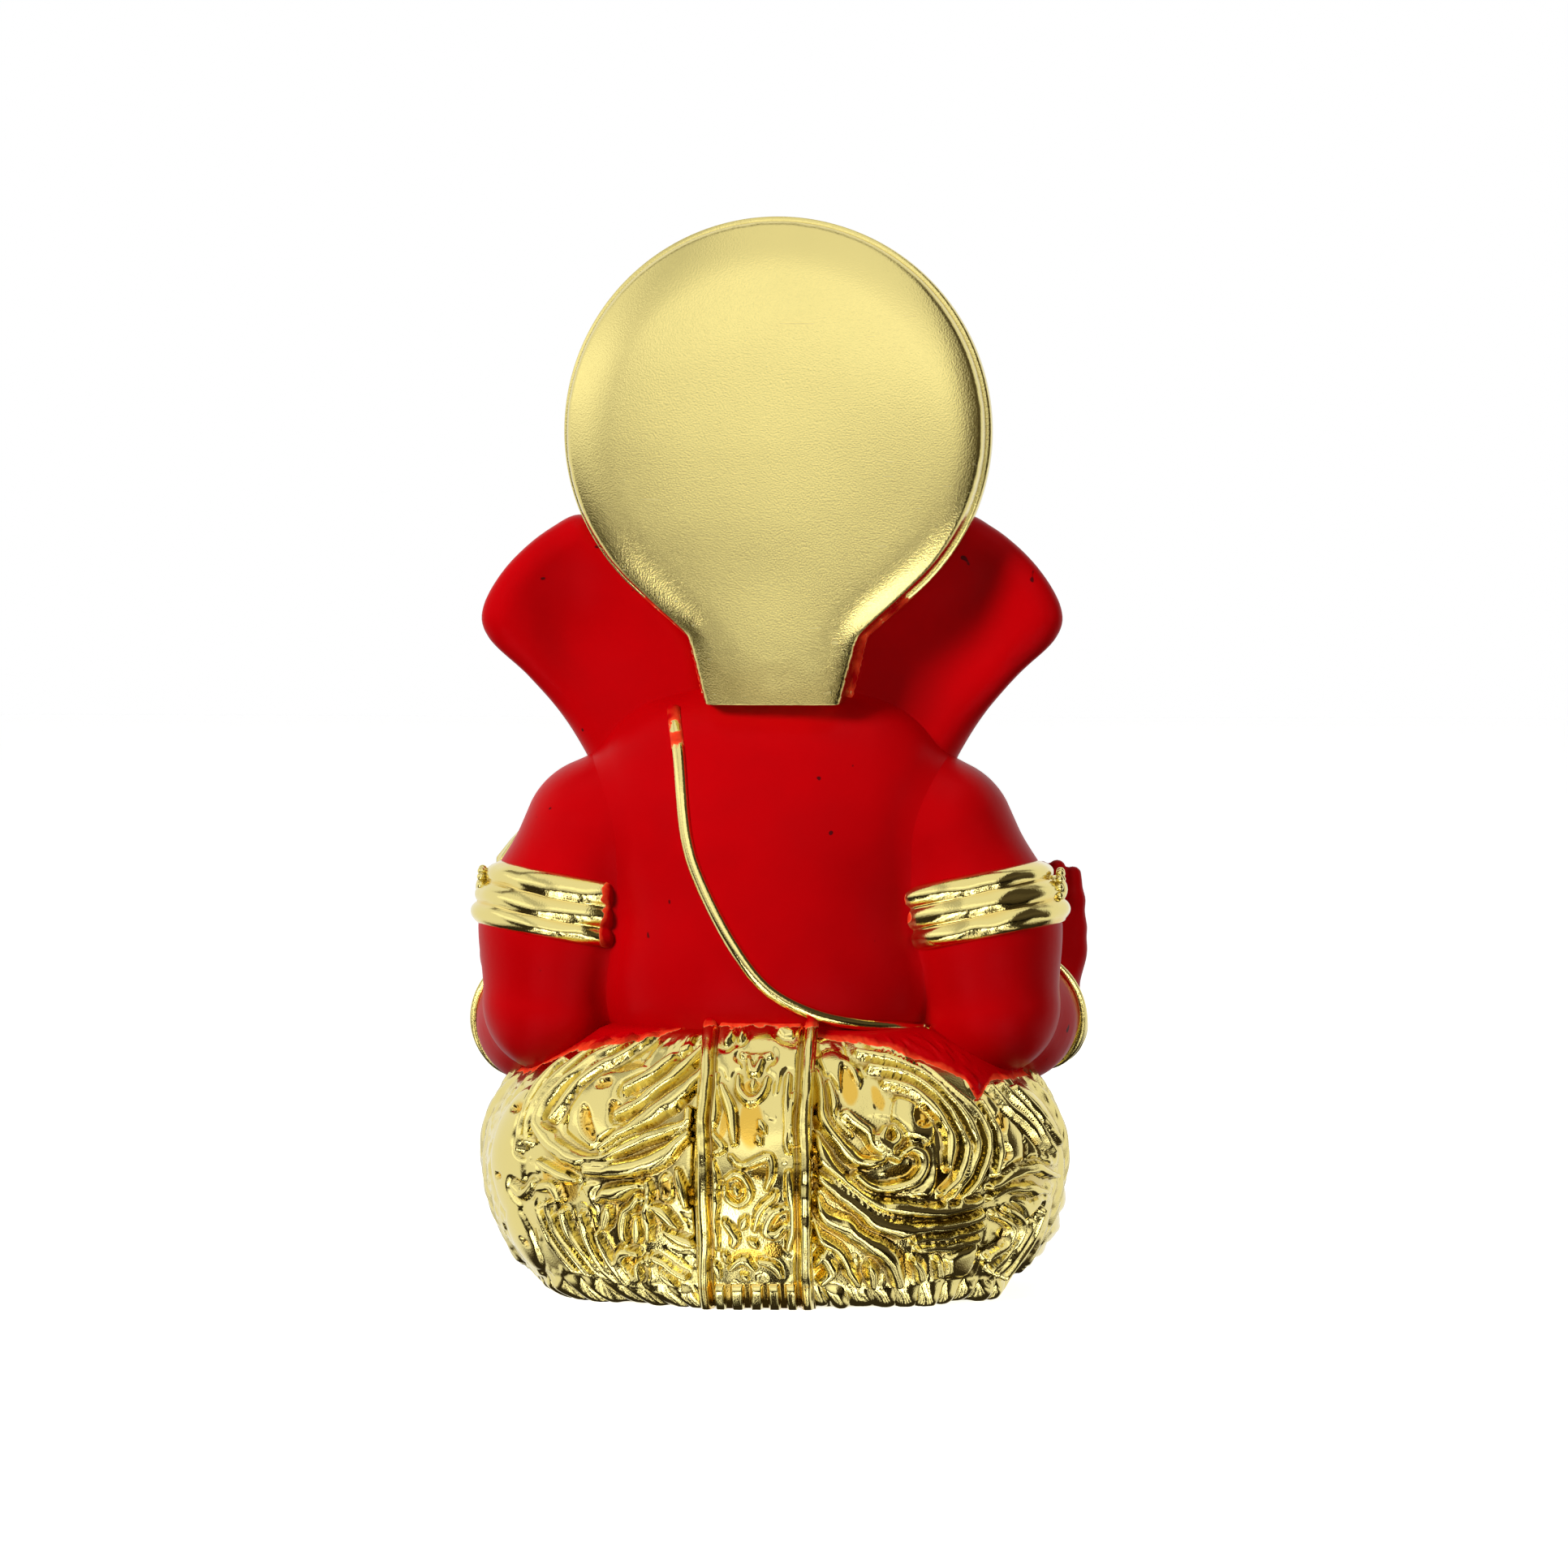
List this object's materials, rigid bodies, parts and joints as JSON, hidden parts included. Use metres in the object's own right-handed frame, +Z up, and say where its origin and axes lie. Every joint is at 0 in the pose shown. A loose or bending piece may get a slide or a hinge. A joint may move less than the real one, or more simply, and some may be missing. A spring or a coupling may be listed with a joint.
{
  "type": "ganesha idol",
  "caption": "Small seated elephant-headed idol with a domed round halo, raised hands, ridged armlets and a sash down the back, gold plated and painted red.",
  "frame": {"origin": "centre of the idol's box, at the table", "axes": "+Z up, the idol faces -Y, its left hand is towards +X"},
  "size_m": [0.0514, 0.0387, 0.09],
  "materials": {
    "gold_plate": "polished, with fine cast relief",
    "gold_satin": "satin",
    "red_paint": "satin paint",
    "ivory_paint": "gloss paint",
    "eye_paint": "gloss paint",
    "stones": "gloss",
    "felt": "matt felt"
  },
  "bodies": {
    "root": {"seat": "gold_plate", "felt_pad": "felt", "back_sash": "gold_plate", "left_leg": "gold_plate", "right_leg": "gold_plate", "left_foot": "red_paint", "right_foot": "red_paint", "left_anklet": "gold_plate", "right_anklet": "gold_plate", "torso": "red_paint", "sacred_thread": "gold_plate", "necklace": "gold_plate", "left_upper_arm": "red_paint", "right_upper_arm": "red_paint", "left_armlet": "gold_plate", "right_armlet": "gold_plate", "left_forearm": "red_paint", "right_forearm": "red_paint", "left_bangle": "gold_plate", "right_bangle": "gold_plate", "sweet": "gold_plate", "head": "red_paint", "trunk": "red_paint", "left_tusk": "ivory_paint", "right_tusk": "ivory_paint", "left_ear": "red_paint", "right_ear": "red_paint", "left_eye": "eye_paint", "right_eye": "eye_paint", "forehead_mark": "gold_plate", "crown": "gold_plate", "crown_studs": "stones", "halo_front": "gold_satin", "halo_back": "gold_satin"}
  },
  "joints": []
}
